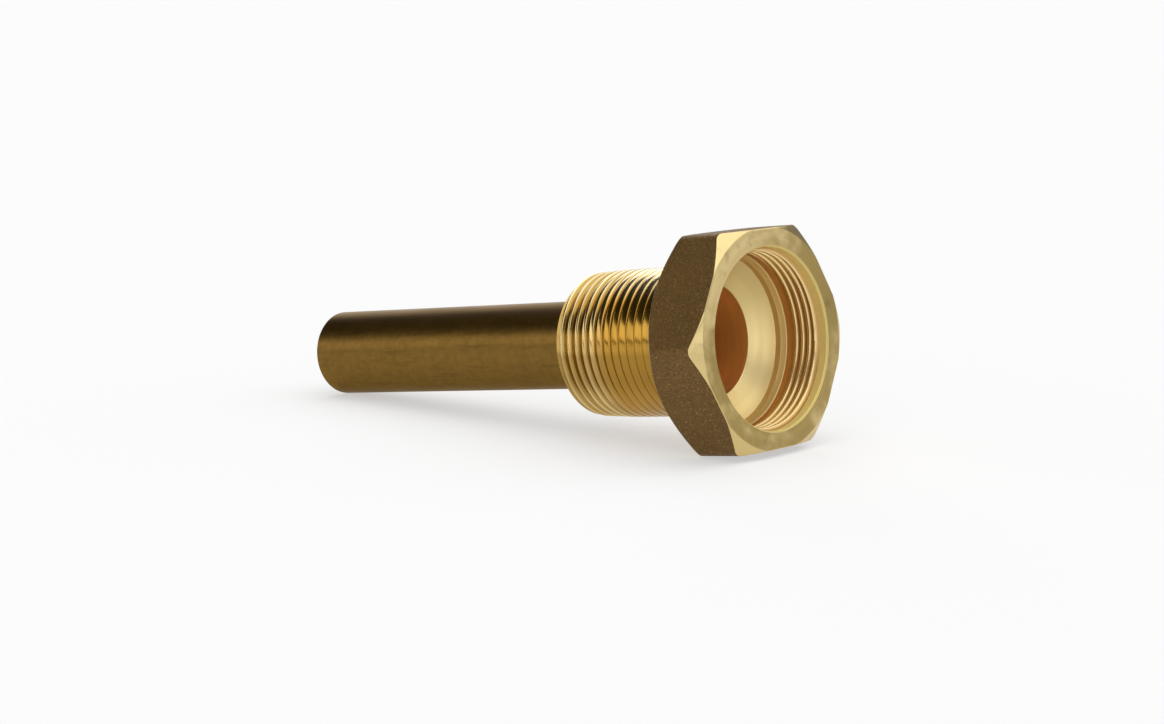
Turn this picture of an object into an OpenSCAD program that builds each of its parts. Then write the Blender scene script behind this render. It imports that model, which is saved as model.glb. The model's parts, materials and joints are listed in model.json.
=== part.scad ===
// Brass thermowell, forged and turned in one piece.
// A hexagon head with an internally threaded instrument socket, a taper pipe thread
// for the process connection, and a plain round stem with a blind bore.
// It is drawn on its own axis and then laid down as it rests on a level surface:
// on the lowest flat of the hexagon and on the end of the stem, mouth raised.
// The two threads are drawn plain, at their crest diameters.
// Sizes are in millimetres and angles in degrees.

/* [Hexagon head] */

// size across the flats
hex_flats = 38; // [36:0.5:46]
// length of the head, from its back face to its front face
head_length = 13; // [12.5:0.1:20]
// radius of the six forged corners
corner_radius = 2; // [0.5:0.1:4]
// diameter of the flat front face, where the front cone starts
front_face_d = 38.6; // [36:0.1:42]
// slope of the front cone, measured from the front face
front_cone_angle = 31; // [15:1:45]
// diameter of the back face, where the back cone starts
back_face_d = 36; // [30:0.1:42]
// slope of the back cone, measured from the back face
back_cone_angle = 41; // [15:1:50]

/* [Process thread] */

// length of the threaded part, from the back of the head to the stem
thread_length = 26.4; // [18:0.1:40]
// crest diameter at the small end
thread_end_d = 26.03; // [25:0.01:26.6]
// largest crest diameter, next to the head
thread_blank_d = 26.7; // [26.6:0.05:29]
// length over which the crest diameter grows by one
taper_length_per_mm = 16; // [10:1:30]
// chamfer on the small end
thread_chamfer = 0.9; // [0.2:0.1:2]

/* [Stem] */

// outside diameter
stem_d = 16.1; // [14:0.1:22]
// length below the thread
stem_length = 67; // [30:1:200]
// radius on the edge of the closed end
stem_end_radius = 0.4; // [0.1:0.1:3]

/* [Instrument socket] */

// diameter of the plain entry, which clears the mating thread
entry_d = 31.8; // [31.6:0.1:34]
// depth of the entry, where the lead into the thread starts
entry_depth = 1.8; // [1:0.1:4]
// chamfer on the edge of the mouth
mouth_chamfer = 0.3; // [0.1:0.05:0.8]
// crest diameter of the internal thread
socket_thread_d = 30.6; // [30:0.05:31.5]
// length of full thread
socket_thread_length = 5; // [3:0.1:8]
// diameter of the turned relief behind the thread
relief_d = 31.9; // [31.6:0.05:33.5]
// width of the relief
relief_width = 1.2; // [0.6:0.1:3]
// length of the taper that leads from the relief to the pilot
pilot_lead_length = 1; // [0.4:0.1:2]
// diameter of the plain pilot in front of the cone seat
pilot_d = 29.9; // [28:0.05:30.4]
// length of the pilot
pilot_length = 1.2; // [0.4:0.1:3]
// slope of the cone seat, measured from a plane across the axis
seat_angle = 25; // [10:1:45]

/* [Bores] */

// diameter of the bore below the cone seat
sensor_bore_d = 20; // [14:0.1:21.5]
// length of that bore, from the cone seat to its own cone
sensor_bore_length = 11; // [4:0.5:16]
// diameter of the bore in the stem
stem_bore_d = 11.5; // [6:0.1:13.5]
// thickness left at the closed end, on the axis
end_wall = 6; // [3:0.5:15]
// slope of the drilled cones, measured from a plane across the axis
drill_angle = 31; // [15:1:45]

/* [Hidden] */

$fn = 96;

// positions along the axis: the back of the head is 0 and the mouth is at head_length
stem_end = -thread_length - stem_length;

// each outside cone drops away from its face as the radius grows
front_drop = tan(front_cone_angle);
back_drop = tan(back_cone_angle);
// the circle in which the two cones would meet, outside the hexagon's corners
cones_meet_r = (head_length + front_face_d / 2 * front_drop + back_face_d / 2 * back_drop)
    / (front_drop + back_drop);
cones_meet_along = (cones_meet_r - back_face_d / 2) * back_drop;
// how far the thread blank runs into the head
head_overlap = 1;
// slight angle at which a forged corner's arc meets the flats
corner_crease = 8;

// the taper ends where it reaches the largest crest diameter, or at the head
taper_full = (thread_blank_d - thread_end_d) * taper_length_per_mm;
taper_length = min(max(taper_full, thread_chamfer + 0.1), thread_length - 0.5);

// the socket's steps, as positions along the axis from the mouth inwards
entry_end = head_length - entry_depth;
// the lead from the entry to the thread slopes at 45 degrees
lead_end = entry_end - (entry_d - socket_thread_d) / 2;
thread_inner_end = lead_end - socket_thread_length;
relief_end = thread_inner_end - relief_width;
lead_inner_end = relief_end - pilot_lead_length;
seat_outer = lead_inner_end - pilot_length;
seat_inner = seat_outer - (pilot_d - sensor_bore_d) / 2 * tan(seat_angle);
sensor_bore_end = seat_inner - sensor_bore_length;
stem_bore_start = sensor_bore_end - (sensor_bore_d - stem_bore_d) / 2 * tan(drill_angle);
drill_tip = stem_end + end_wall;
stem_bore_end = drill_tip + stem_bore_d / 2 * tan(drill_angle);

// the lowest point of the head is where the back cone meets the middle of the bottom flat
foot_along = max(0, (hex_flats - back_face_d) / 2 * back_drop);
foot_below = hex_flats / 2;
// the centre of the rounded edge at the closed end of the stem
tip_along = stem_end + stem_end_radius;
tip_below = stem_d / 2 - stem_end_radius;
// the angle at which both stand on one level
foot_run = foot_along - tip_along;
foot_rise = foot_below - tip_below;
foot_reach = sqrt(foot_run * foot_run + foot_rise * foot_rise);
rest_tilt = atan2(foot_rise, foot_run) - asin(stem_end_radius / foot_reach);
rest_height = foot_below * cos(rest_tilt) - foot_along * sin(rest_tilt);
// the two lowest edges in front: the front face's own, and where its cone meets the flat
face_below = min(hex_flats, front_face_d) / 2;
flat_front = head_length - (foot_below - face_below) * front_drop;
// the two ends of the part along the level, once it is tilted
head_reach = max(
    head_length * cos(rest_tilt) + face_below * sin(rest_tilt),
    flat_front * cos(rest_tilt) + foot_below * sin(rest_tilt)
);
tip_reach = tip_along * cos(rest_tilt) - tip_below * sin(rest_tilt) - stem_end_radius;

// turns a shape drawn along Z to lie along X, the mouth towards +X
module along_x() {
    rotate([0, 90, 0])
        children();
}

// lays the part on the level: middle of its length at X = 0 and lowest points at Z = 0
module laid_at_rest() {
    translate([-(head_reach + tip_reach) / 2, 0, rest_height])
        rotate([0, -rest_tilt, 0])
            children();
}

// a hexagon with round corners, flats towards X and corners towards Y:
// a middle disc that reaches just past the ends of the flats, and a small disc in each
// corner, all trimmed by the six flats
module rounded_hexagon(flats, corner) {
    centre_in = flats / 2 - corner * cos(corner_crease);
    centre_side = centre_in * tan(30);
    intersection() {
        rotate(30)
            circle(d = flats / cos(30), $fn = 6);
        union() {
            circle(r = norm([flats / 2, centre_side]));
            for (turn = [30:60:330])
                rotate(turn)
                    translate([centre_in / cos(30), 0])
                        circle(r = corner);
        }
    }
}

// the forged hexagon, its two ends turned to cones that leave curved edges on the flats
module hexagon_head() {
    intersection() {
        linear_extrude(head_length)
            rounded_hexagon(hex_flats, corner_radius);
        rotate_extrude()
            polygon([
                [0, 0],
                [back_face_d / 2, 0],
                [cones_meet_r, cones_meet_along],
                [front_face_d / 2, head_length],
                [0, head_length]
            ]);
    }
}

// the thread blank: a chamfer, the taper of the pipe thread, then straight up to the head
module thread_blank() {
    end_r = thread_end_d / 2;
    chamfer_end = thread_chamfer - thread_length;
    rotate_extrude()
        polygon([
            [0, -thread_length],
            [end_r - thread_chamfer, -thread_length],
            [end_r, chamfer_end],
            [thread_blank_d / 2, taper_length - thread_length],
            [thread_blank_d / 2, head_overlap],
            [0, head_overlap]
        ]);
}

// the plain stem, closed at its end, with a rounded edge
module stem() {
    rotate_extrude()
        union() {
            translate([0, stem_end + stem_end_radius])
                square([stem_d / 2, stem_length]);
            translate([0, stem_end])
                square([stem_d / 2 - stem_end_radius, stem_length]);
            translate([stem_d / 2 - stem_end_radius, stem_end + stem_end_radius])
                circle(r = stem_end_radius);
        }
}

// the instrument socket: plain entry, thread lead, thread, relief, pilot and cone seat
module instrument_socket() {
    rotate_extrude()
        polygon([
            [0, seat_inner - 1],
            [sensor_bore_d / 2, seat_inner - 1],
            [sensor_bore_d / 2, seat_inner],
            [pilot_d / 2, seat_outer],
            [pilot_d / 2, lead_inner_end],
            [socket_thread_d / 2, relief_end],
            [relief_d / 2, relief_end],
            [relief_d / 2, thread_inner_end],
            [socket_thread_d / 2, thread_inner_end],
            [socket_thread_d / 2, lead_end],
            [entry_d / 2, entry_end],
            [entry_d / 2, head_length - mouth_chamfer],
            [entry_d / 2 + mouth_chamfer + 1, head_length + 1],
            [0, head_length + 1]
        ]);
}

// the two bores below the seat, each ended by the cone of its drill
module sensor_bores() {
    rotate_extrude()
        polygon([
            [0, drill_tip],
            [stem_bore_d / 2, stem_bore_end],
            [stem_bore_d / 2, stem_bore_start],
            [sensor_bore_d / 2, sensor_bore_end],
            [sensor_bore_d / 2, seat_inner - 0.5],
            [0, seat_inner - 0.5]
        ]);
}

// the whole part, one solid
module thermowell() {
    color("#c8a75a")
        laid_at_rest()
            along_x()
                difference() {
                    union() {
                        hexagon_head();
                        thread_blank();
                        stem();
                    }
                    instrument_socket();
                    sensor_bores();
                }
}

thermowell();
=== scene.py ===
"""Brass thermowell: the turned and threaded body with its finishes, and a plain studio around it."""

import json
import math

import bmesh
import bpy
from bpy.props import FloatProperty, FloatVectorProperty, PointerProperty
from mathutils import Matrix, Vector


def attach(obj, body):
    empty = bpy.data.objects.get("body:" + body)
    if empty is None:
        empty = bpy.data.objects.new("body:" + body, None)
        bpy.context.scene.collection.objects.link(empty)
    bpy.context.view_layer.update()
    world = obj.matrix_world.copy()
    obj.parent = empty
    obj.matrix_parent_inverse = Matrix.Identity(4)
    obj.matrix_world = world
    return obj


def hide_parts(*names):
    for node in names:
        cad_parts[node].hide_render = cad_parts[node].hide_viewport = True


bl_info = {
    "name": "Brass Thermowell",
    "version": (1, 0, 0),
    "blender": (4, 5, 0),
    "location": "View3D > Sidebar > Thermowell",
    "description": "Builds the body of a brass thermowell and a plain studio for it",
    "category": "Add Mesh",
}

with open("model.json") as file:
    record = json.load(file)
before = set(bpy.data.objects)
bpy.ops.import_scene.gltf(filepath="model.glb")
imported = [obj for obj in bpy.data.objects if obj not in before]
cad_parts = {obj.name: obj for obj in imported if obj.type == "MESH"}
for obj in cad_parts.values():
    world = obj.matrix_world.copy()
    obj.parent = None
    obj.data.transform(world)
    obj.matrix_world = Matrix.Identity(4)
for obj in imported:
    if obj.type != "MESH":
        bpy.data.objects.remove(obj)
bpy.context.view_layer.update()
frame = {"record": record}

MM = 0.001
PIECE = "thermowell_body"
SEGMENTS = 288  # steps in a full turn, a multiple of 12 so that the hexagon's corners fall on them
FLANK = math.radians(30)  # half the angle of both threads
TAPER = 1 / 32  # growth of the process thread's radius along its length
SMOOTH_BELOW = math.radians(24)  # edges that fold less than this are shaded smooth
WELD = 2e-6  # points of neighbouring sheets closer than this are one point

# material slots of the body, in the order of its slots
SKIN, FACE, OUTER_THREAD, STEM, INNER_THREAD, GROOVE, SEAT, BORE = range(8)


# ---- sizes and colours that a user would change


def length(name, description, millimetres):
    return FloatProperty(
        name=name,
        description=description,
        default=millimetres * MM,
        min=0.0,
        subtype="DISTANCE",
        unit="LENGTH",
        precision=5,
    )


def slope(name, description, degrees):
    return FloatProperty(
        name=name,
        description=description,
        default=math.radians(degrees),
        subtype="ANGLE",
        unit="ROTATION",
    )


def colour(name, description, default):
    return FloatVectorProperty(
        name=name,
        description=description,
        default=default,
        size=3,
        min=0.0,
        max=1.0,
        subtype="COLOR",
    )


class HeadSizes(bpy.types.PropertyGroup):
    flats: length("Across Flats", "Size of the hexagon across its flats", 38.0)
    long: length("Length", "From the back face to the front face", 13.0)
    corner: length("Corner Radius", "Radius of the forged corners", 2.0)
    face: length("Front Face", "Diameter of the flat front face", 38.6)
    face_slope: slope("Front Cone", "Slope of the front cone from the face", 31.0)
    back: length("Back Face", "Diameter of the back face", 36.0)
    back_slope: slope("Back Cone", "Slope of the back cone from the face", 41.0)
    edge: length("Edge Break", "Width of the broken edges", 0.16)


class ProcessThreadSizes(bpy.types.PropertyGroup):
    long: length("Length", "From the back face to the small end", 26.4)
    end: length("Small End", "Crest diameter at the small end", 26.03)
    blank: length("Blank", "Crest diameter next to the head", 26.56)
    pitch: length("Pitch", "Distance from crest to crest", 25.4 / 14)
    depth: length("Depth", "Depth of a full thread, of which RUN_OUT gives the share", 1.25)
    root: length("Root Width", "Width of the flat root", 0.16)
    rounding: length("Rounding", "Rounding from the flanks to the crests", 0.22)
    first: length("First Crest", "From the small end to the first crest, on the side towards -Y", 2.0)
    chamfer: length("Chamfer", "Chamfer on the small end", 1.05)
    collar: length("Collar", "Plain length next to the head", 1.6)


class StemSizes(bpy.types.PropertyGroup):
    across: length("Diameter", "Outside diameter of the stem", 16.1)
    long: length("Length", "Length below the thread", 67.0)
    end: length("End Radius", "Radius on the closed end", 0.4)


class SocketSizes(bpy.types.PropertyGroup):
    entry: length("Entry", "Diameter of the plain entry", 31.8)
    entry_depth: length("Entry Depth", "Depth of the entry", 1.8)
    chamfer: length("Mouth Chamfer", "Chamfer on the mouth", 0.3)
    crest: length("Crest", "Crest diameter of the thread", 30.6)
    root: length("Root", "Root diameter of the thread", 31.76)
    root_width: length("Root Width", "Width of the flat root", 0.34)
    rounding: length("Rounding", "Rounding from the flanks to the crests", 0.08)
    pitch: length("Pitch", "Distance from crest to crest", 25.4 / 18)
    first: length("First Crest", "Depth of the first crest, on the side towards +Y", 2.33)
    thread: length("Thread Length", "Length of full thread", 5.0)
    relief: length("Relief", "Diameter of the relief", 31.9)
    relief_width: length("Relief Width", "Width of the relief", 1.2)
    lead: length("Pilot Lead", "Length of the taper before the pilot", 1.0)
    pilot: length("Pilot", "Diameter of the pilot", 29.9)
    pilot_long: length("Pilot Length", "Length of the pilot", 1.2)
    seat_slope: slope("Sealing Cone", "Slope of the sealing cone", 25.0)


class BoreSizes(bpy.types.PropertyGroup):
    upper: length("Upper Bore", "Diameter of the bore below the seat", 20.0)
    upper_long: length("Upper Length", "Length of the upper bore", 11.0)
    lower: length("Stem Bore", "Diameter of the bore in the stem", 11.5)
    wall: length("End Wall", "Thickness left at the closed end", 6.0)
    drill_slope: slope("Drill Cone", "Slope of the drilled cones", 31.0)


class Finish(bpy.types.PropertyGroup):
    bright: colour("Bright Brass", "Freshly turned brass", (0.82, 0.645, 0.30))
    ring: colour("Front Ring", "Turned front ring, slightly dulled", (0.43, 0.31, 0.105))
    crest: colour("Thread Crests", "Pale brass of thread crests, ring and seat", (0.80, 0.62, 0.29))
    # painted highlight: cream laid on the thread's crests on its upper side
    painted_highlight: colour("Painted Highlight", "Cream brass on the thread's upper side", (0.95, 0.82, 0.48))
    cut: colour("Cut Thread", "Clean brass of the thread's flanks", (0.54, 0.35, 0.10))
    run_out: colour("Run-out", "Duller brass where the thread runs out", (0.50, 0.28, 0.045))
    aged: colour("Aged Brass", "Darkened brass of the stem", (0.23, 0.130, 0.030))
    skin: colour("Forged Skin", "Brown skin left by forging", (0.205, 0.115, 0.032))
    skin_light: colour("Skin Sparkle", "Bare points in the skin", (0.46, 0.29, 0.11))
    # painted shade: orange-brown laid in the socket's thread roots and relief, the more the deeper
    # they lie
    root_painted_shade: colour("Thread Roots", "Orange-brown in the thread roots", (0.76, 0.43, 0.14))
    # painted reflection: the bore's red-brown stands in for light bounced round inside it
    bore_painted_reflection: colour("Bore", "Copper-brown of the bore", (0.95, 0.55, 0.19))
    # painted shade laid along the stem's upper side
    painted_shade: colour("Painted Shade", "Dark patina on the stem's upper side", (0.085, 0.055, 0.042))
    # also makes the process thread's deepest roots darker
    stain: colour("Stain", "Dark stains", (0.10, 0.065, 0.030))


class Studio(bpy.types.PropertyGroup):
    distance: length("Distance", "From the camera to the point that it looks at", 479.6)
    turn: slope("Turn", "Where the camera stands, counted from +X", -49.10)
    rise: slope("Rise", "How far the camera looks down", 8.554)
    lens: FloatProperty(name="Lens", description="Focal length", default=80.17, unit="CAMERA")
    floor: colour("Floor", "Colour of the floor", (0.95, 0.95, 0.95))


GROUPS = {
    "head": HeadSizes,
    "thread": ProcessThreadSizes,
    "stem": StemSizes,
    "socket": SocketSizes,
    "bores": BoreSizes,
    "finish": Finish,
    "studio": Studio,
}


def settings(name):
    return getattr(bpy.context.scene, "thermowell_" + name)


# ---- where the part lies


def part_axes():
    """Where the part's own axis lies: its tilt, and the point at the back of the head."""
    mounts = {mount["name"]: mount for mount in frame["record"]["mounts"]}
    face = mounts["front_face"]
    along = Vector(face["axis"])
    tilt = math.atan2(along.z, along.x)
    front = Vector(face["pos_m"])
    front.y = 0.0
    return tilt, front - along * settings("head").long


def part_matrix():
    tilt, origin = part_axes()
    return Matrix.Translation(origin) @ Matrix.Rotation(-tilt, 4, "Y")


# ---- the body's mesh


def spin_rows(bm, rows, place, slot_of, helical=False):
    """Spins a line of points into a sheet around X and adds it to bm.

    Each point goes where place(row, angle) says: a distance along the axis and a radius.
    The sheet climbs half a row in its turn, which tells its last points from its first.
    A helical sheet ends a pitch further along than it starts, so its last points keep the
    full turn as their angle.
    """
    slack = 0.01  # against rounding when a row is read back from a place along X
    sheet = bmesh.new()
    line = [sheet.verts.new((float(row), 1.0, 0.0)) for row in range(rows)]
    edges = [sheet.edges.new(pair) for pair in zip(line, line[1:])]
    bmesh.ops.spin(
        sheet,
        geom=line + edges,
        cent=(0.0, 0.0, 0.0),
        axis=(1.0, 0.0, 0.0),
        dvec=(0.5 / SEGMENTS, 0.0, 0.0),
        angle=math.tau,
        steps=SEGMENTS,
        use_merge=False,
    )
    for face in sheet.faces:
        row = math.floor(min(vert.co.x for vert in face.verts) + slack)
        face.material_index = slot_of(row)
    for vert in sheet.verts:
        row = math.floor(vert.co.x + slack)
        step = round(math.atan2(vert.co.z, vert.co.y) / math.tau * SEGMENTS) % SEGMENTS
        if helical and step == 0 and vert.co.x - row > 0.25:
            step = SEGMENTS
        angle = math.tau * step / SEGMENTS
        along, radius = place(row, angle)
        angle = math.tau * (step % SEGMENTS) / SEGMENTS
        vert.co = (along, radius * math.cos(angle), radius * math.sin(angle))
    mesh = bpy.data.meshes.new("sheet")
    sheet.to_mesh(mesh)
    sheet.free()
    bm.from_mesh(mesh)
    bpy.data.meshes.remove(mesh)


def turn_profile(bm, points, slots):
    """Turns a profile of (along, radius) points; slots gives the material of each stretch."""
    spin_rows(bm, len(points), lambda row, angle: points[row], lambda row: slots[row])


def hexagon_radius(angle, flats, corner):
    """How far the rounded hexagon reaches at an angle from a corner's direction."""
    half = flats / 2
    away = abs((angle + math.pi / 6) % (math.pi / 3) - math.pi / 6)
    centre = (half - corner) / math.cos(math.pi / 6)
    ends = math.atan2(corner / 2, centre + corner * math.cos(math.pi / 6))
    if away >= ends:
        return half / math.cos(math.pi / 6 - away)
    return centre * math.cos(away) + math.sqrt(corner**2 - (centre * math.sin(away)) ** 2)


def build_head(bm, collar_radius, mouth_radius):
    """The hexagon, from the thread's collar to the ring around the mouth."""
    sizes = settings("head")
    edge = sizes.edge
    edge_down = edge * 0.7  # how far the broken edge reaches along the flat
    front_drop = math.tan(sizes.face_slope)
    back_drop = math.tan(sizes.back_slope)
    flat_rows = 6

    def cone_front(radius):
        return sizes.long - max(radius - sizes.face / 2, 0.0) * front_drop

    def cone_back(radius):
        return max(radius - sizes.back / 2, 0.0) * back_drop

    def place(row, angle):
        reach = hexagon_radius(angle, sizes.flats, sizes.corner)
        if row == 0:
            return 0.0, collar_radius
        if row == 1:
            return 0.0, sizes.back / 2
        if row == 2:
            return cone_back(reach - edge), reach - edge
        row -= 3
        if row <= flat_rows:
            start = cone_back(reach) + edge_down
            end = cone_front(reach) - edge_down
            return start + (end - start) * row / flat_rows, reach
        row -= flat_rows + 1
        if row == 0:
            return cone_front(reach - edge), reach - edge
        if row == 1:
            return sizes.long, min(sizes.face / 2, reach - edge)
        return sizes.long, mouth_radius

    def slot_of(row):
        return SKIN if 2 <= row < 3 + flat_rows else FACE

    spin_rows(bm, flat_rows + 7, place, slot_of)


# one groove and half of each crest beside it: where each row lies between the groove's
# middle and the crest's, and how it sits on the flank
GROOVE_ROWS = (
    (-1, "crest"),
    (-1, "top"),
    (-1, "upper bend"),
    (-1, "lower bend"),
    (-1, "shoulder"),
    (-1, "root"),
    (1, "root"),
    (1, "shoulder"),
    (1, "lower bend"),
    (1, "upper bend"),
    (1, "top"),
)
# the rounding from flank to crest, as shares of its tangent length: along and down
BENDS = {
    "top": (1.0, 0.0),
    "upper bend": (0.408, 0.104),
    "lower bend": (-0.114, 0.405),
    "shoulder": (-0.5, 0.866),
}


def groove_point(part, depth, root, pitch, rounding):
    """Offset from the groove's middle and height above its root for one row."""
    side, place = GROOVE_ROWS[part]
    if place == "root":
        return side * root / 2, 0.0
    if place == "crest":
        return side * pitch / 2, depth
    reach = root / 2 + depth * math.tan(FLANK)
    # kept short enough for a narrow crest and for a shallow groove
    tangent = min(rounding, (pitch / 2 - reach) * 0.95, depth * 0.55)
    along, down = BENDS[place]
    return side * (reach + along * tangent), depth - down * tangent


# how deep the process thread is, as a share of its full depth, at millimetres from the small end
RUN_OUT = (
    (-4, 0.86),
    (5, 0.86),
    (8, 0.66),
    (11, 0.42),
    (14, 0.26),
    (17, 0.17),
    (21, 0.10),
    (24.6, 0),
)


def build_process_thread(bm, stem_radius):
    """The right-hand taper thread, shallower towards the head, where the die ran out."""
    sizes = settings("thread")
    parts = len(GROOVE_ROWS)
    run = sizes.long - sizes.collar

    def crest(along):
        return min(sizes.end / 2 + along * TAPER, sizes.blank / 2)

    def depth_at(along):
        at = along / MM
        for (start, low), (stop, high) in zip(RUN_OUT, RUN_OUT[1:]):
            if at <= stop:
                share = max(0.0, (at - start) / (stop - start))
                return sizes.depth * (low + (high - low) * share)
        return 0.0

    # half a pitch from crest to groove, and half a pitch for the half turn round to -Y
    first_groove = sizes.first - sizes.pitch

    def raw(row, angle):
        turn, part = divmod(row, parts)
        middle = first_groove + sizes.pitch * (turn - 1 + angle / math.tau)
        depth = depth_at(middle)
        offset, height = groove_point(part, depth, sizes.root, sizes.pitch, sizes.rounding)
        along = middle + offset
        return along, crest(along) - depth + height

    def chamfered(along, radius):
        return min(radius, sizes.end / 2 - sizes.chamfer + along)

    def place(row, angle):
        along, radius = raw(row, angle)
        if along > run:
            return -sizes.collar, crest(run)
        if along >= 0:
            return along - sizes.long, chamfered(along, radius)
        next_along, next_radius = raw(row + 1, angle)
        if next_along <= 0:
            return -sizes.long, stem_radius
        share = -along / (next_along - along)
        return -sizes.long, chamfered(0.0, radius + (next_radius - radius) * share)

    rows = parts * (math.ceil(run / sizes.pitch) + 3)
    spin_rows(bm, rows, place, lambda row: OUTER_THREAD, helical=True)


def build_socket_thread(bm):
    """The right-hand thread inside the mouth, between the plain entry and the relief."""
    sizes = settings("socket")
    front = settings("head").long
    parts = len(GROOVE_ROWS)
    depth = (sizes.root - sizes.crest) / 2
    high = front - sizes.entry_depth
    low = high - (sizes.entry - sizes.crest) / 2 - sizes.thread
    turns = math.ceil((high - low) / sizes.pitch) + 3
    crest_at = front - sizes.first

    def raw(row, angle):
        turn, part = divmod(row, parts)
        middle = crest_at + sizes.pitch * (2.5 + turn - turns + angle / math.tau)
        offset, height = groove_point(part, depth, sizes.root_width, sizes.pitch, sizes.rounding)
        return middle + offset, sizes.root / 2 - height

    def led_in(along, radius):
        return max(radius, sizes.entry / 2 - (high - along))

    def place(row, angle):
        along, radius = raw(row, angle)
        if along > high:
            return high, sizes.entry / 2
        if along >= low:
            return along, led_in(along, radius)
        next_along, next_radius = raw(row + 1, angle)
        if next_along <= low:
            return low, sizes.relief / 2
        share = (low - along) / (next_along - along)
        return low, radius + (next_radius - radius) * share

    spin_rows(bm, parts * turns, place, lambda row: INNER_THREAD, helical=True)
    return low


def arc(centre_along, centre_radius, radius, start, end, steps):
    """Points on a rounded edge, from one angle to the other."""
    points = []
    for step in range(steps + 1):
        turn = math.radians(start + (end - start) * step / steps)
        points.append(
            (centre_along + radius * math.cos(turn), centre_radius + radius * math.sin(turn))
        )
    return points


def build_stem(bm):
    stem = settings("stem")
    start = -settings("thread").long
    tip = start - stem.long
    arc_steps = 5
    edge = arc(tip + stem.end, stem.across / 2 - stem.end, stem.end, 180, 90, arc_steps)
    stations = 6
    shank = [(tip + stem.long * share / stations, stem.across / 2) for share in range(1, stations)]
    points = [(tip, 0.0)] + edge + shank + [(start, stem.across / 2)]
    turn_profile(bm, points, [STEM] * (len(points) - 1))


def build_bores(bm, thread_low):
    """From the relief inwards: relief, pilot, cone seat and both bores to the drill's tip."""
    socket = settings("socket")
    bores = settings("bores")
    relief_end = thread_low - socket.relief_width
    lead_end = relief_end - socket.lead
    seat_outer = lead_end - socket.pilot_long
    seat_inner = seat_outer - (socket.pilot - bores.upper) / 2 * math.tan(socket.seat_slope)
    upper_end = seat_inner - bores.upper_long
    drill = math.tan(bores.drill_slope)
    lower_start = upper_end - (bores.upper - bores.lower) / 2 * drill
    tip = -settings("thread").long - settings("stem").long + bores.wall
    lower_end = tip + bores.lower / 2 * drill
    soft = 0.08 * MM  # small breaks on the inner edges
    points = [
        (thread_low, socket.relief / 2),
        (relief_end, socket.relief / 2),
        (relief_end, socket.crest / 2 + soft),
        (relief_end - soft, socket.crest / 2),
        (lead_end + soft, socket.pilot / 2 + soft),
        (lead_end - soft, socket.pilot / 2),
        (seat_outer, socket.pilot / 2),
        (seat_inner + soft, bores.upper / 2 + soft * 2),
        (seat_inner - soft, bores.upper / 2),
        (upper_end, bores.upper / 2),
        (lower_start, bores.lower / 2),
        (lower_end, bores.lower / 2),
        (tip, 0.0),
    ]
    turn_profile(bm, points, [GROOVE] * 6 + [SEAT] * 2 + [BORE] * 4)


def build_body():
    stem_radius = settings("stem").across / 2
    thread = settings("thread")
    socket = settings("socket")
    front = settings("head").long
    bm = bmesh.new()
    build_stem(bm)
    build_process_thread(bm, stem_radius)
    crest = min(thread.end / 2 + (thread.long - thread.collar) * TAPER, thread.blank / 2)
    turn_profile(bm, [(-thread.collar, crest), (0.0, crest)], [OUTER_THREAD])
    build_head(bm, crest, socket.entry / 2 + socket.chamfer)
    mouth = [
        (front, socket.entry / 2 + socket.chamfer),
        (front - socket.chamfer, socket.entry / 2),
        (front - socket.entry_depth, socket.entry / 2),
    ]
    turn_profile(bm, mouth, [SEAT, SEAT])
    low = build_socket_thread(bm)
    build_bores(bm, low)
    bmesh.ops.remove_doubles(bm, verts=bm.verts, dist=WELD)
    bmesh.ops.dissolve_degenerate(bm, dist=WELD / 2, edges=bm.edges)
    bmesh.ops.recalc_face_normals(bm, faces=bm.faces)
    bmesh.ops.transform(bm, matrix=part_matrix(), verts=bm.verts)
    for face in bm.faces:
        face.smooth = True
    for edge in bm.edges:
        if len(edge.link_faces) != 2:
            raise RuntimeError("the body is open at an edge")
        edge.smooth = edge.calc_face_angle(0.0) < SMOOTH_BELOW
    mesh = bpy.data.meshes.new(PIECE)
    bm.to_mesh(mesh)
    bm.free()
    body = bpy.data.objects.new(PIECE, mesh)
    bpy.context.scene.collection.objects.link(body)
    normals = body.modifiers.new("Even Shading", "WEIGHTED_NORMAL")
    normals.keep_sharp = True
    return body


# ---- materials


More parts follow.
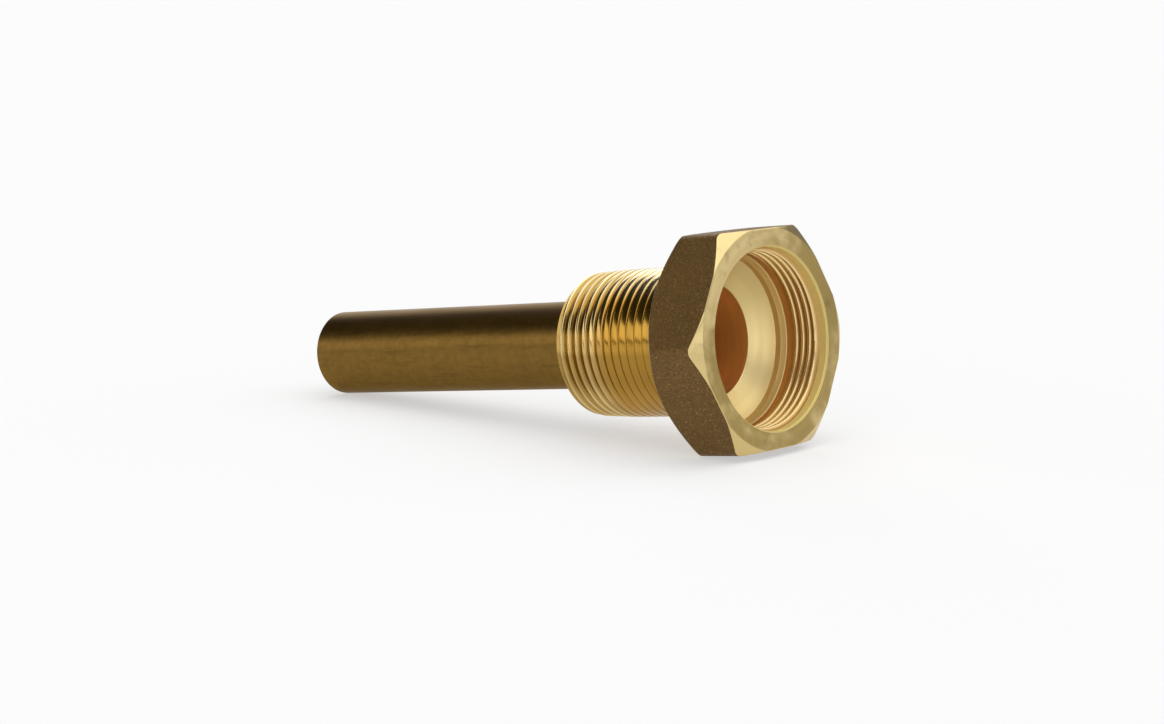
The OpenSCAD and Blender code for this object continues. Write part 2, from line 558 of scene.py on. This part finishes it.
class Tree:
    """A node tree that is written line by line."""

    def __init__(self, tree):
        self.tree = tree

    def node(self, kind, **values):
        made = self.tree.nodes.new(kind)
        for name, value in values.items():
            setattr(made, name, value)
        return made

    def link(self, source, target):
        if isinstance(source, bpy.types.NodeSocket):
            self.tree.links.new(source, target)
        else:
            target.default_value = source

    def math(self, operation, *values):
        made = self.node("ShaderNodeMath", operation=operation)
        for socket, value in zip(made.inputs, values):
            self.link(value, socket)
        return made.outputs[0]

    def mix(self, factor, first, second):
        made = self.node("ShaderNodeMix", data_type="RGBA")
        self.link(factor, made.inputs["Factor"])
        self.link(rgba(first), made.inputs[6])
        self.link(rgba(second), made.inputs[7])
        return made.outputs[2]

    def ramp(self, value, low, high, to_low=0.0, to_high=1.0):
        made = self.node("ShaderNodeMapRange", interpolation_type="SMOOTHSTEP")
        for socket, given in zip(made.inputs, (value, low, high, to_low, to_high)):
            self.link(given, socket)
        return made.outputs[0]

    def noise(self, vector, scale, detail=2.0, roughness=0.5):
        made = self.node("ShaderNodeTexNoise")
        self.link(vector, made.inputs["Vector"])
        made.inputs["Scale"].default_value = scale
        made.inputs["Detail"].default_value = detail
        made.inputs["Roughness"].default_value = roughness
        return made.outputs["Fac"]

    def dots(self, vector, scale):
        made = self.node("ShaderNodeTexVoronoi")
        self.link(vector, made.inputs["Vector"])
        made.inputs["Scale"].default_value = scale
        return made.outputs["Distance"]

    def stretch(self, vector, factors):
        made = self.node("ShaderNodeVectorMath", operation="MULTIPLY")
        self.link(vector, made.inputs[0])
        self.link(factors, made.inputs[1])
        return made.outputs[0]

    def vector(self, x, y, z):
        made = self.node("ShaderNodeCombineXYZ")
        for socket, value in zip(made.inputs, (x, y, z)):
            self.link(value, socket)
        return made.outputs[0]


def shade(value, factor):
    """A colour made lighter or darker."""
    return tuple(part * factor for part in value)


def rgba(value):
    if isinstance(value, bpy.types.NodeSocket) or len(value) == 4:
        return value
    return (*value, 1.0)


def new_group(name, inputs, outputs):
    group = bpy.data.node_groups.new(name, "ShaderNodeTree")
    for title, kind, default in inputs:
        socket = group.interface.new_socket(title, in_out="INPUT", socket_type=kind)
        socket.default_value = default
    for title, kind in outputs:
        group.interface.new_socket(title, in_out="OUTPUT", socket_type=kind)
    tree = Tree(group)
    entry = tree.node("NodeGroupInput")
    exit_ = tree.node("NodeGroupOutput")
    return group, tree, entry.outputs, exit_.inputs


def axis_group():
    """Places on the part's own axis: along it, off it and as a point, in mm, and the turn round it."""
    group, tree, _, out = new_group(
        "Around The Axis",
        (),
        (("Along", "NodeSocketFloat"), ("Radius", "NodeSocketFloat"),
         ("Across", "NodeSocketVector"), ("Turn", "NodeSocketFloat")),
    )
    tilt, origin = part_axes()
    coordinates = tree.node("ShaderNodeTexCoord")
    mapping = tree.node("ShaderNodeMapping", vector_type="TEXTURE")
    tree.link(coordinates.outputs["Object"], mapping.inputs["Vector"])
    mapping.inputs["Location"].default_value = origin
    mapping.inputs["Rotation"].default_value = (0.0, -tilt, 0.0)
    mapping.inputs["Scale"].default_value = (MM, MM, MM)
    split = tree.node("ShaderNodeSeparateXYZ")
    tree.link(mapping.outputs[0], split.inputs[0])
    x, y, z = split.outputs
    flat = tree.vector(0.0, y, z)
    size = tree.node("ShaderNodeVectorMath", operation="LENGTH")
    tree.link(flat, size.inputs[0])
    tree.link(x, out["Along"])
    tree.link(size.outputs["Value"], out["Radius"])
    tree.link(mapping.outputs[0], out["Across"])
    tree.link(tree.math("ARCTAN2", z, y), out["Turn"])
    return group


def turning_group():
    """Fine lines left by a turning tool, across the given direction."""
    group, tree, given, out = new_group(
        "Turning Lines",
        (("Along", "NodeSocketFloat", 0.0), ("Turn", "NodeSocketFloat", 0.0),
         ("Lines", "NodeSocketFloat", 8.0), ("Unevenness", "NodeSocketFloat", 0.6)),
        (("Height", "NodeSocketFloat"), ("Band", "NodeSocketFloat")),
    )
    row = tree.math("MULTIPLY", given["Along"], given["Lines"])
    # a circle in the noise, so that the lines close without a seam
    around = [tree.math(kind, given["Turn"]) for kind in ("COSINE", "SINE")]
    half = [tree.math("MULTIPLY", value, 0.5) for value in around]
    fine = tree.noise(tree.vector(row, *half), 1.0, 3.0, 0.7)
    coarse = tree.noise(tree.vector(tree.math("MULTIPLY", row, 0.16), *around), 0.7, 2.0)
    height = tree.math("ADD", fine, tree.math("MULTIPLY", coarse, given["Unevenness"]))
    tree.link(height, out["Height"])
    tree.link(coarse, out["Band"])
    return group


def stain_group():
    """Soft dark stains and small specks scattered over a surface."""
    group, tree, given, out = new_group(
        "Stains And Specks",
        (("Across", "NodeSocketVector", (0.0, 0.0, 0.0)), ("Size", "NodeSocketFloat", 0.25),
         ("Amount", "NodeSocketFloat", 0.4), ("Specks", "NodeSocketFloat", 0.5)),
        (("Stain", "NodeSocketFloat"), ("Speck", "NodeSocketFloat")),
    )
    scaled = tree.node("ShaderNodeVectorMath", operation="SCALE")
    tree.link(given["Across"], scaled.inputs[0])
    tree.link(given["Size"], scaled.inputs["Scale"])
    cloud = tree.noise(scaled.outputs[0], 1.0, 4.0, 0.6)
    edge = tree.math("SUBTRACT", 0.78, tree.math("MULTIPLY", given["Amount"], 0.3))
    stain = tree.ramp(cloud, edge, tree.math("ADD", edge, 0.12))
    dots = tree.noise(given["Across"], 2.4, 1.0, 0.4)
    limit = tree.math("SUBTRACT", 0.82, tree.math("MULTIPLY", given["Specks"], 0.12))
    speck = tree.ramp(dots, limit, tree.math("ADD", limit, 0.05))
    tree.link(stain, out["Stain"])
    tree.link(speck, out["Speck"])
    return group


class Metal:
    """A material of one finish: a metal shader with the shared groups placed in it."""

    def __init__(self, name, metallic, shared):
        self.material = bpy.data.materials.new(name)
        self.material.use_nodes = True
        self.material.node_tree.nodes.clear()
        self.tree = Tree(self.material.node_tree)
        self.shader = self.tree.node("ShaderNodeBsdfPrincipled")
        self.shader.inputs["Metallic"].default_value = metallic
        output = self.tree.node("ShaderNodeOutputMaterial")
        self.tree.link(self.shader.outputs[0], output.inputs["Surface"])
        self.shared = shared
        axis = self.place("axis")
        self.along, self.radius = axis["Along"], axis["Radius"]
        self.across, self.turn = axis["Across"], axis["Turn"]

    def place(self, group, **values):
        made = self.tree.node("ShaderNodeGroup", node_tree=self.shared[group])
        for name, value in values.items():
            self.tree.link(value, made.inputs[name])
        return made.outputs

    def lines(self, where, density):
        """Lines of a turning tool, which lie across the given distance."""
        return self.place("turning", Along=where, Turn=self.turn, Lines=density)

    def marks(self, size, amount, specks):
        return self.place("stain", Across=self.across, Size=size, Amount=amount, Specks=specks)

    def soil(self, base, marks, stain, speck=0.0):
        """Lays the stains and the specks over a colour."""
        dirt = settings("finish").stain
        for name, share in (("Stain", stain), ("Speck", speck)):
            if share:
                factor = self.tree.math("MULTIPLY", marks[name], share)
                base = self.tree.mix(factor, base, dirt)
        return base

    def upper(self, low, high, most=1.0):
        """How far up a place lies round the axis, from one sine of the turn to the other, for painted
        highlight and painted shade by side.
        """
        return self.tree.ramp(self.tree.math("SINE", self.turn), low, high, 0.0, most)

    def finish(self, base, roughness, height, strength, distance):
        """Ends the material with its colour, its roughness and a bump, whose depth is in mm."""
        bump = self.tree.node("ShaderNodeBump")
        bump.inputs["Strength"].default_value = strength
        bump.inputs["Distance"].default_value = distance * MM
        self.tree.link(height, bump.inputs["Height"])
        self.tree.link(bump.outputs[0], self.shader.inputs["Normal"])
        self.tree.link(base, self.shader.inputs["Base Color"])
        self.tree.link(roughness, self.shader.inputs["Roughness"])
        return self.material


# painted highlight: the head's ring and cones are lighter round this turn, in radians, on the upper
# side towards -Y, and darker away from it
PAINTED_HIGHLIGHT_TURN = 2.06
# sines of the turn round the axis, 1 at the top, between which painted light comes in: painted
# highlight on the thread's upper side, and painted shade in a band on its lower side and on the upper
# sides of the stem and the seat
PAINTED_HIGHLIGHT_THREAD = (0.55, 0.85)
PAINTED_SHADE_THREAD = ((-0.75, -0.35), (-0.1, 0.02))
PAINTED_SHADE_STEM = (0.66, 0.88)
PAINTED_SHADE_SEAT = (-0.1, 0.7)
# the process thread goes dull between these distances from its small end, in mm
DULL_THREAD = (7.0, 13.0)


def skin_material(shared):
    """Rough brown skin of the forging, with bare points that sparkle."""
    finish = settings("finish")
    metal = Metal("Forged Skin", 0.85, shared)
    tree = metal.tree
    cloud = tree.noise(metal.across, 0.16, 3.0, 0.6)
    grain = tree.noise(metal.across, 2.2, 3.0, 0.75)
    points = tree.dots(metal.across, 2.6)
    some = tree.ramp(tree.noise(metal.across, 1.3, 2.0, 0.6), 0.44, 0.60)
    sparkle = tree.math("MULTIPLY", tree.ramp(points, 0.12, 0.42, 1.0, 0.0), some)
    dark = shade(finish.skin, 0.55)
    base = tree.mix(tree.ramp(grain, 0.30, 0.70), dark, finish.skin)
    base = tree.mix(tree.ramp(cloud, 0.35, 0.7, 0.0, 0.3), base, finish.skin)
    base = tree.mix(tree.math("MULTIPLY", sparkle, 0.6), base, finish.skin_light)
    rough = tree.math("SUBTRACT", 0.58, tree.math("MULTIPLY", sparkle, 0.22))
    height = tree.math("ADD", grain, tree.math("MULTIPLY", points, -0.5))
    return metal.finish(base, rough, height, 0.6, 0.16)


def face_material(shared):
    """Turned brass of both cones and of the front ring, which is dull in patches, with painted
    highlight round one turn and painted shade away from it.
    """
    finish = settings("finish")
    metal = Metal("Turned Brass", 1.0, shared)
    tree = metal.tree
    lines = metal.lines(metal.radius, 7.0)
    marks = metal.marks(0.2, 0.75, 0.35)
    # painted highlight by the turn: 1.6 on the lighter side, -0.4 opposite to it and down to -0.8
    # between them
    turned = tree.math("SUBTRACT", metal.turn, PAINTED_HIGHLIGHT_TURN)
    twice = tree.math("COSINE", tree.math("MULTIPLY", turned, 2.0))
    painted_highlight = tree.math("ADD", tree.math("COSINE", turned), tree.math("MULTIPLY", twice, 0.6))
    patches = tree.noise(metal.across, 0.12, 3.0, 0.55)
    # painted highlight: the ring's lighter patches grow on that side
    patches = tree.math("ADD", patches, tree.math("MULTIPLY", painted_highlight, 0.10))
    patches = tree.ramp(patches, 0.40, 0.66)
    front = settings("head").long / MM
    on_ring = tree.ramp(metal.along, front - 0.05, front - 0.01)
    ring = tree.mix(tree.math("MULTIPLY", patches, 0.9), finish.ring, finish.crest)
    ring = tree.mix(tree.ramp(lines["Band"], 0.35, 0.65, 0.0, 0.12), ring, finish.stain)
    # painted highlight and painted shade: the cones are bright brass on the lighter side and take part
    # of the ring's colour away from it
    cone = tree.mix(tree.ramp(painted_highlight, -0.6, 0.8, 0.4, 0.0), finish.bright, finish.ring)
    base = metal.soil(tree.mix(on_ring, cone, ring), marks, 0.25, 0.4)
    rough = tree.math("ADD", 0.22, tree.math("MULTIPLY", lines["Band"], 0.16))
    metal.shader.inputs["Anisotropic"].default_value = 0.7
    metal.shader.inputs["Anisotropic Rotation"].default_value = 0.25
    tangent = tree.node("ShaderNodeTangent", direction_type="RADIAL", axis="X")
    tree.link(tangent.outputs[0], metal.shader.inputs["Tangent"])
    return metal.finish(base, rough, lines["Height"], 0.12, 0.02)


def outer_thread_material(shared):
    """Clean brass on the full thread, duller towards the head, with painted highlight on the crests
    and in cream on the upper side, painted shade in a brown band below, and darker deepest roots.
    """
    finish = settings("finish")
    thread = settings("thread")
    metal = Metal("Cut Thread", 1.0, shared)
    tree = metal.tree
    lines = metal.lines(metal.along, 5.0)
    marks = metal.marks(0.3, 0.3, 0.3)
    # painted highlight: how far a place lies on the thread's upper side
    upper = metal.upper(*PAINTED_HIGHLIGHT_THREAD)
    from_end = tree.math("SUBTRACT", metal.along, -thread.long / MM)
    # the painted highlight also keeps the run-out from going dull on the upper side
    share = tree.math("SUBTRACT", 1.0, tree.math("MULTIPLY", upper, 0.7))
    dull = tree.math("MULTIPLY", tree.ramp(from_end, *DULL_THREAD), share)
    taper = tree.math("MULTIPLY", from_end, TAPER)
    crest = tree.math("ADD", taper, thread.end / 2 / MM)
    crest = tree.math("MINIMUM", crest, thread.blank / 2 / MM)
    below = tree.math("SUBTRACT", crest, metal.radius)
    crests = tree.mix(upper, finish.crest, finish.painted_highlight)
    # painted highlight: the crests lighter than the flanks below them
    base = tree.mix(tree.ramp(below, 0.0, 0.26), crests, finish.cut)
    # darker in the deepest roots, in the stain colour
    base = tree.mix(tree.ramp(below, 0.85, 1.2, 0.0, 0.4), base, finish.stain)
    base = tree.mix(dull, base, finish.run_out)
    # painted shade: a brown band on the thread's lower side
    shade_band_start, shade_band_end = (metal.upper(*limits) for limits in PAINTED_SHADE_THREAD)
    lower = tree.math("MULTIPLY", shade_band_start, tree.math("SUBTRACT", 1.0, shade_band_end))
    base = tree.mix(tree.math("MULTIPLY", lower, 0.55), base, shade(finish.run_out, 0.5))
    base = metal.soil(base, marks, 0.3)
    worn = tree.ramp(lines["Band"], 0.45, 0.65, 0.0, 0.35)
    base = tree.mix(worn, base, shade(finish.run_out, 0.6))
    rough = tree.math("ADD", 0.13, tree.math("MULTIPLY", lines["Band"], 0.08))
    return metal.finish(base, rough, lines["Height"], 0.12, 0.02)


def stem_material(shared):
    """Dark brass with fine rings, streaks and pits, and painted shade that makes it darkest on the
    upper side.
    """
    finish = settings("finish")
    metal = Metal("Aged Stem", 1.0, shared)
    tree = metal.tree
    lines = metal.lines(metal.along, 4.0)
    marks = metal.marks(0.18, 0.6, 0.7)
    cloud = tree.noise(metal.across, 0.09, 4.0, 0.6)
    dark = shade(finish.aged, 0.6)
    base = tree.mix(tree.math("MULTIPLY", lines["Band"], 0.5), finish.aged, dark)
    end = -(settings("thread").long + settings("stem").long) / MM
    mottle = tree.noise(metal.across, 0.8, 4.0, 0.65)
    base = tree.mix(tree.ramp(mottle, 0.42, 0.62, 0.0, 0.4), base, dark)
    streaks = tree.noise(tree.stretch(metal.across, (0.14, 1.3, 1.3)), 1.0, 3.0, 0.6)
    base = tree.mix(tree.ramp(streaks, 0.52, 0.70, 0.0, 0.6), base, dark)
    past_end = tree.ramp(metal.along, end, end + 2.0)
    # painted shade on the upper side, fading out at the closed end
    upper = tree.math("MULTIPLY", metal.upper(*PAINTED_SHADE_STEM), past_end)
    base = tree.mix(tree.math("MULTIPLY", upper, 0.85), base, finish.painted_shade)
    base = metal.soil(base, marks, 0.25, 0.7)
    rough = tree.math("ADD", 0.28, tree.math("MULTIPLY", cloud, 0.12))
    height = tree.math("SUBTRACT", lines["Height"], marks["Speck"])
    metal.shader.inputs["Specular Tint"].default_value = (0.72, 0.64, 0.52, 1.0)
    return metal.finish(base, rough, height, 0.22, 0.03)


def inner_thread_material(shared):
    """Bright crests over red-brown roots, by how deep the surface lies in the thread; the red-brown is
    painted shade.
    """
    finish = settings("finish")
    socket = settings("socket")
    metal = Metal("Socket Thread", 0.9, shared)
    tree = metal.tree
    crest, root = socket.crest / 2 / MM, socket.root / 2 / MM
    deep = tree.ramp(metal.radius, crest + 0.06, root - 0.12)
    base = tree.mix(deep, finish.bright, shade(finish.root_painted_shade, 0.72))
    lines = metal.lines(metal.along, 6.0)
    rough = tree.math("ADD", 0.18, tree.math("MULTIPLY", deep, 0.2))
    return metal.finish(base, rough, lines["Height"], 0.08, 0.02)


def groove_material(shared):
    """Satin relief and pilot in the socket, with painted shade in the deeper relief."""
    finish = settings("finish")
    socket = settings("socket")
    metal = Metal("Socket Groove", 0.8, shared)
    tree = metal.tree
    lines = metal.lines(metal.along, 6.0)
    crest, relief = socket.crest / 2 / MM, socket.relief / 2 / MM
    deep = tree.ramp(metal.radius, crest + 0.05, relief - 0.15)
    base = tree.mix(deep, finish.bright, shade(finish.root_painted_shade, 0.8))
    rough = tree.math("ADD", 0.36, tree.math("MULTIPLY", lines["Band"], 0.12))
    return metal.finish(base, rough, lines["Height"], 0.1, 0.02)


def seat_material(shared):
    """Turned cone seat and the entry in front of the thread, which is more satin; the seat is darker
    on its upper side, which is painted shade.
    """
    finish = settings("finish")
    socket = settings("socket")
    metal = Metal("Sealing Cone", 1.0, shared)
    tree = metal.tree
    lines = metal.lines(metal.radius, 6.0)
    marks = metal.marks(0.3, 0.35, 0.35)
    crest, wall = socket.crest / 2 / MM, socket.entry / 2 / MM
    entry = tree.ramp(metal.radius, crest - 0.1, crest + 0.3)
    chamfer = tree.ramp(metal.radius, wall + 0.02, wall + 0.08, 0.0, 0.5)
    red, green, blue = finish.bright
    cone = (red * 1.15, green * 1.17, blue * 1.2)
    golden = (red * 1.05, green * 1.09, blue * 0.82)
    base = tree.mix(tree.ramp(lines["Band"], 0.35, 0.65, 0.0, 0.3), cone, finish.crest)
    # painted shade: towards the ring's colour on the upper side
    base = tree.mix(metal.upper(*PAINTED_SHADE_SEAT, 0.6), base, finish.ring)
    base = tree.mix(entry, base, golden)
    base = tree.mix(chamfer, base, finish.ring)
    base = metal.soil(base, marks, 0.3, 0.4)
    rough = tree.math("ADD", 0.29, tree.math("MULTIPLY", lines["Band"], 0.12))
    rough = tree.math("ADD", rough, tree.math("MULTIPLY", entry, 0.2))
    metallic = tree.math("SUBTRACT", 1.0, tree.math("MULTIPLY", entry, 0.6))
    tree.link(metallic, metal.shader.inputs["Metallic"])
    return metal.finish(base, rough, lines["Height"], 0.14, 0.02)


def bore_material(shared):
    """Drilled wall with fine rings, in a red-brown that is painted reflection of light bounced round
    inside the bore.
    """
    finish = settings("finish")
    metal = Metal("Drilled Bore", 0.75, shared)
    tree = metal.tree
    lines = metal.lines(metal.along, 4.0)
    rough = tree.math("ADD", 0.38, tree.math("MULTIPLY", lines["Band"], 0.12))
    base = tree.mix(lines["Band"], finish.bore_painted_reflection, shade(finish.bore_painted_reflection, 0.7))
    return metal.finish(base, rough, lines["Height"], 0.15, 0.03)


# ---- the studio


FLOOR_REACH = 12.0  # from the middle of the floor to its edges, in metres
FLOOR_WHITE = 0.5  # share of plain white in the floor as it is seen, against how it is lit
DARK_BELT = 0.04  # strength of the light tent where no panel is
AIM = (5.75, 3.34, 11.36)  # the point that the camera looks at, in mm
ROLL = math.radians(-0.16)
SENSOR = 36.0  # width, in mm
NEAREST = 0.01  # nothing closer to the camera than this is drawn, in metres


def build_floor():
    bm = bmesh.new()
    bmesh.ops.create_grid(bm, x_segments=8, y_segments=8, size=FLOOR_REACH)
    mesh = bpy.data.meshes.new("studio_floor")
    bm.to_mesh(mesh)
    bm.free()
    floor = bpy.data.objects.new("studio_floor", mesh)
    bpy.context.scene.collection.objects.link(floor)
    material = bpy.data.materials.new("Pale Floor")
    material.use_nodes = True
    material.node_tree.nodes.clear()
    tree = Tree(material.node_tree)
    shader = tree.node("ShaderNodeBsdfDiffuse")
    shader.inputs["Color"].default_value = rgba(settings("studio").floor)
    glow = tree.node("ShaderNodeEmission")
    path = tree.node("ShaderNodeLightPath")
    seen = path.outputs["Is Camera Ray"]
    for ray in ("Is Glossy Ray", "Is Transmission Ray"):
        seen = tree.math("MAXIMUM", seen, path.outputs[ray])
    white = tree.node("ShaderNodeMixShader")
    tree.link(tree.math("MULTIPLY", seen, FLOOR_WHITE), white.inputs[0])
    tree.link(shader.outputs[0], white.inputs[1])
    tree.link(glow.outputs[0], white.inputs[2])
    output = tree.node("ShaderNodeOutputMaterial")
    tree.link(white.outputs[0], output.inputs["Surface"])
    mesh.materials.append(material)
    return floor


def panel_group():
    """How much of a light panel lies in a direction: 1 on the panel, 0 beside it."""
    group, tree, given, out = new_group(
        "Light Panel",
        (("Direction", "NodeSocketVector", (0.0, 0.0, 1.0)), ("Centre", "NodeSocketFloat", 0.0),
         ("Half Width", "NodeSocketFloat", 30.0), ("Bottom", "NodeSocketFloat", -5.0),
         ("Top", "NodeSocketFloat", 40.0), ("Edge", "NodeSocketFloat", 3.0)),
        (("Light", "NodeSocketFloat"),),
    )
    split = tree.node("ShaderNodeSeparateXYZ")
    tree.link(given["Direction"], split.inputs[0])
    x, y, z = split.outputs
    turn = tree.math("DEGREES", tree.math("ARCTAN2", y, x))
    away = tree.math("SUBTRACT", turn, given["Centre"])
    away = tree.math("ABSOLUTE", tree.math("WRAP", away, 180.0, -180.0))
    rise = tree.math("DEGREES", tree.math("ARCSINE", z))
    edge = given["Edge"]

    def inside(value, limit):
        low, high = tree.math("SUBTRACT", limit, edge), tree.math("ADD", limit, edge)
        return tree.ramp(value, low, high, 1.0, 0.0)

    across = inside(away, given["Half Width"])
    below = inside(rise, given["Top"])
    above = tree.math("SUBTRACT", 1.0, inside(rise, given["Bottom"]))
    light = tree.math("MULTIPLY", across, tree.math("MULTIPLY", below, above))
    tree.link(light, out["Light"])
    return group


def toward(turn, rise):
    """The direction at a turn from +X and a rise from the level, both in radians."""
    return (math.cos(turn) * math.cos(rise), math.sin(turn) * math.cos(rise), math.sin(rise))


# panels of the light tent: centre, half width, bottom, top, edge (degrees) and strength
PANELS = (
    (-140.0, 35.0, 3.5, 21.7, 1.2, 1.80),
    (-30.0, 75.0, 1.5, 22.5, 1.2, 1.35),
    (62.0, 17.0, 1.5, 18.0, 3.0, 1.1),
    (105.0, 15.0, 1.5, 26.0, 5.0, 0.25),
)
# round lights: turn, rise, half angle, edge (degrees) and strength
ROUNDS = (
    (60.0, 72.0, 48.0, 2.5, 1.60),
    (60.0, 84.0, 33.0, 4.0, 1.9),
    (-55.0, 48.0, 26.0, 5.0, 1.5),
    (141.0, 17.0, 17.0, 2.0, 2.3),
)


def build_world():
    """A light tent: a large roof light over a dark belt, with panels in the belt."""
    world = bpy.data.worlds.new("Light Tent")
    bpy.context.scene.world = world
    world.use_nodes = True
    world.node_tree.nodes.clear()
    tree = Tree(world.node_tree)
    coordinates = tree.node("ShaderNodeTexCoord")
    direction = coordinates.outputs["Generated"]
    strength = DARK_BELT
    for turn, rise, half, edge, level in ROUNDS:
        dot = tree.node("ShaderNodeVectorMath", operation="DOT_PRODUCT")
        tree.link(direction, dot.inputs[0])
        dot.inputs[1].default_value = toward(math.radians(turn), math.radians(rise))
        outer, inner = math.cos(math.radians(half + edge)), math.cos(math.radians(half - edge))
        light = tree.ramp(dot.outputs["Value"], outer, inner, 0.0, level)
        strength = tree.math("MAXIMUM", strength, light)
    panel = panel_group()
    for centre, half, bottom, top, edge, level in PANELS:
        made = tree.node("ShaderNodeGroup", node_tree=panel)
        tree.link(direction, made.inputs["Direction"])
        given = {"Centre": centre, "Half Width": half, "Bottom": bottom, "Top": top, "Edge": edge}
        for name, value in given.items():
            tree.link(value, made.inputs[name])
        light = tree.math("MULTIPLY", made.outputs[0], level)
        strength = tree.math("MAXIMUM", strength, light)
    background = tree.node("ShaderNodeBackground")
    tree.link(strength, background.inputs["Strength"])
    output = tree.node("ShaderNodeOutputWorld")
    tree.link(background.outputs[0], output.inputs["Surface"])


def build_camera():
    studio = settings("studio")
    data = bpy.data.cameras.new("camera")
    data.lens = studio.lens
    data.sensor_width = SENSOR
    data.clip_start = NEAREST
    camera = bpy.data.objects.new("camera", data)
    bpy.context.scene.collection.objects.link(camera)
    away = Vector(toward(studio.turn, studio.rise))
    camera.location = Vector(AIM) * MM + away * studio.distance
    roll = Matrix.Rotation(ROLL, 4, "Z")
    camera.rotation_euler = (away.to_track_quat("Z", "Y").to_matrix().to_4x4() @ roll).to_euler()
    bpy.context.scene.camera = camera


# ---- operators and panel


class THERMOWELL_OT_body(bpy.types.Operator):
    """Builds the one-piece body with its finishes"""

    bl_idname = "thermowell.make_body"
    bl_label = "Make Body"

    def execute(self, context):
        body = build_body()
        shared = {"axis": axis_group(), "turning": turning_group(), "stain": stain_group()}
        makers = (
            skin_material,
            face_material,
            outer_thread_material,
            stem_material,
            inner_thread_material,
            groove_material,
            seat_material,
            bore_material,
        )
        for maker in makers:
            body.data.materials.append(maker(shared))
        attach(body, "root")
        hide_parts("thermowell")
        return {"FINISHED"}


class THERMOWELL_OT_studio(bpy.types.Operator):
    """Builds the floor, the light and the camera"""

    bl_idname = "thermowell.make_studio"
    bl_label = "Make Studio"

    def execute(self, context):
        context.scene.view_settings.view_transform = "Standard"
        build_floor()
        build_world()
        build_camera()
        return {"FINISHED"}


class THERMOWELL_PT_panel(bpy.types.Panel):
    bl_label = "Thermowell"
    bl_idname = "THERMOWELL_PT_panel"
    bl_space_type = "VIEW_3D"
    bl_region_type = "UI"
    bl_category = "Thermowell"

    def draw(self, context):
        layout = self.layout
        for name, group in GROUPS.items():
            box = layout.box()
            box.label(text=name.capitalize())
            for prop in group.__annotations__:
                box.prop(settings(name), prop)
        layout.operator(THERMOWELL_OT_body.bl_idname)
        layout.operator(THERMOWELL_OT_studio.bl_idname)


CLASSES = (
    *GROUPS.values(),
    THERMOWELL_OT_body,
    THERMOWELL_OT_studio,
    THERMOWELL_PT_panel,
)


def register():
    for cls in CLASSES:
        bpy.utils.register_class(cls)
    for name, group in GROUPS.items():
        setattr(bpy.types.Scene, "thermowell_" + name, PointerProperty(type=group))


def unregister():
    for name in GROUPS:
        delattr(bpy.types.Scene, "thermowell_" + name)
    for cls in reversed(CLASSES):
        bpy.utils.unregister_class(cls)


def main():
    register()
    bpy.ops.thermowell.make_body()
    bpy.ops.thermowell.make_studio()


if __name__ == "__main__":
    main()
